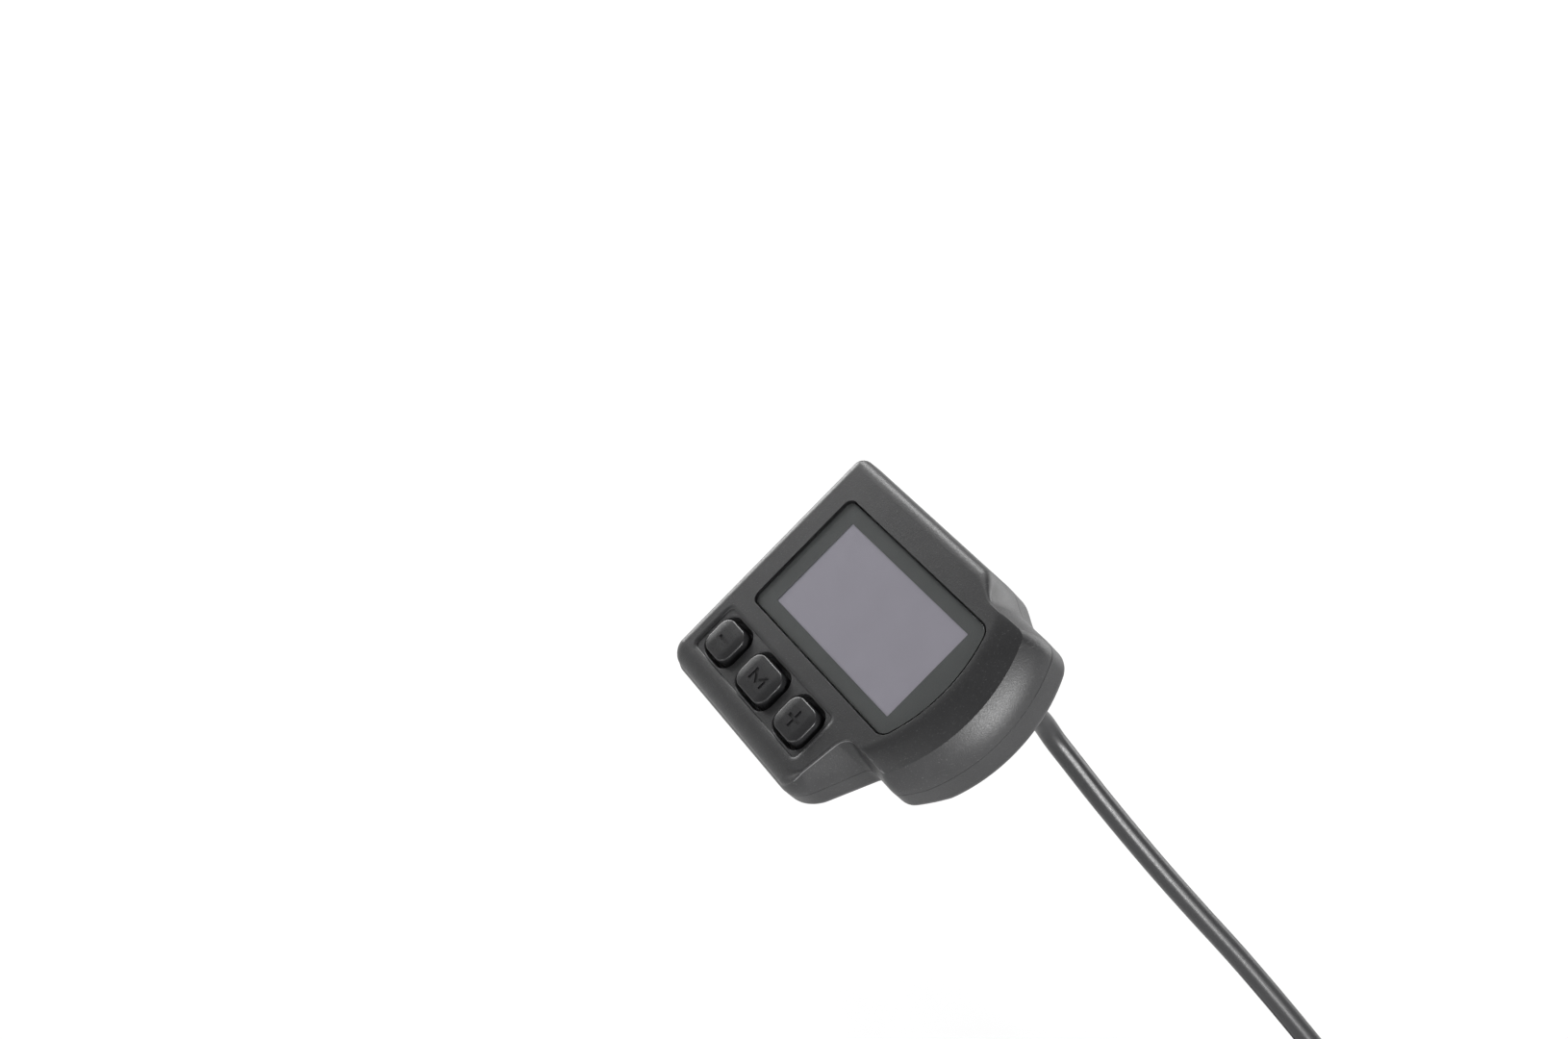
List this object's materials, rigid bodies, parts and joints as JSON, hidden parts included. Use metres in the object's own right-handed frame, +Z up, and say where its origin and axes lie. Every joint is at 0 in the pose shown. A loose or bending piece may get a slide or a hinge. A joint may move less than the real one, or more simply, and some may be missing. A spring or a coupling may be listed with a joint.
{
  "type": "e-bike display",
  "caption": "Compact handlebar display for an electric bike, with a small screen, a row of keys below it, a bar clamp and a plug-ended lead.",
  "frame": {"origin": "on the handlebar's axis, in the middle of the clamp", "axes": "+X right along the handlebar as the rider sees it, +Y forward, +Z up; the face looks up and back towards the rider, tilted 36.7 degrees from level"},
  "size_m": [0.1044, 0.1011, 0.1602],
  "materials": {
    "front_plastic": "fine matt texture",
    "rear_plastic": "matt",
    "seal_rubber": "matt",
    "lens": "gloss with a darker border",
    "black_foam": "matt",
    "lcd": "unlit liquid crystal glass",
    "white_plastic": "matt",
    "flex_film": "satin",
    "board": "satin solder mask",
    "chip": "matt",
    "connector_plastic": "matt",
    "wire": "satin",
    "steel": "satin",
    "dark_steel": "black zinc",
    "key_plastic": "satin",
    "stem_plastic": "satin",
    "cable_jacket": "smooth and glossy",
    "tie_plastic": "satin",
    "plug_plastic": "matt",
    "insert_plastic": "matt",
    "pin_brass": "gold plated"
  },
  "bodies": {
    "display": {"front_cover": "front_plastic", "rear_cover": "rear_plastic", "housing_gasket": "seal_rubber", "lens": "lens", "lens_tape": "black_foam", "screen_foam": "black_foam", "lcd_panel": "lcd", "lcd_backlight": "white_plastic", "lcd_flex": "flex_film", "main_board": "board", "board_chips": "chip", "board_connector": "connector_plastic", "lead_wires": "wire", "board_screws": "steel", "housing_screws": "dark_steel", "keypad_mat": "seal_rubber", "key_switches": "chip", "clamp_ring": "rear_plastic", "clamp_liner": "seal_rubber", "clamp_screw": "steel", "clamp_nut": "steel", "bracket_screws": "steel", "cable_gland": "seal_rubber", "display_cable": "cable_jacket", "cable_coil": "cable_jacket", "cable_tie": "tie_plastic", "plug_body": "plug_plastic", "plug_insert": "insert_plastic", "plug_pins": "pin_brass"},
    "minus_key": {"button_minus": "key_plastic", "switch_stem_minus": "stem_plastic"},
    "mode_key": {"button_mode": "key_plastic", "switch_stem_mode": "stem_plastic"},
    "plus_key": {"button_plus": "key_plastic", "switch_stem_plus": "stem_plastic"}
  },
  "joints": [
    {"name": "minus_press", "type": "slide", "parent": "display", "child": "minus_key", "axis": [0, 0.5976, -0.8018], "range_m": [0, 0.0005], "stiffness_N_per_m": 300},
    {"name": "mode_press", "type": "slide", "parent": "display", "child": "mode_key", "axis": [0, 0.5976, -0.8018], "range_m": [0, 0.0005], "stiffness_N_per_m": 300},
    {"name": "plus_press", "type": "slide", "parent": "display", "child": "plus_key", "axis": [0, 0.5976, -0.8018], "range_m": [0, 0.0005], "stiffness_N_per_m": 300}
  ]
}
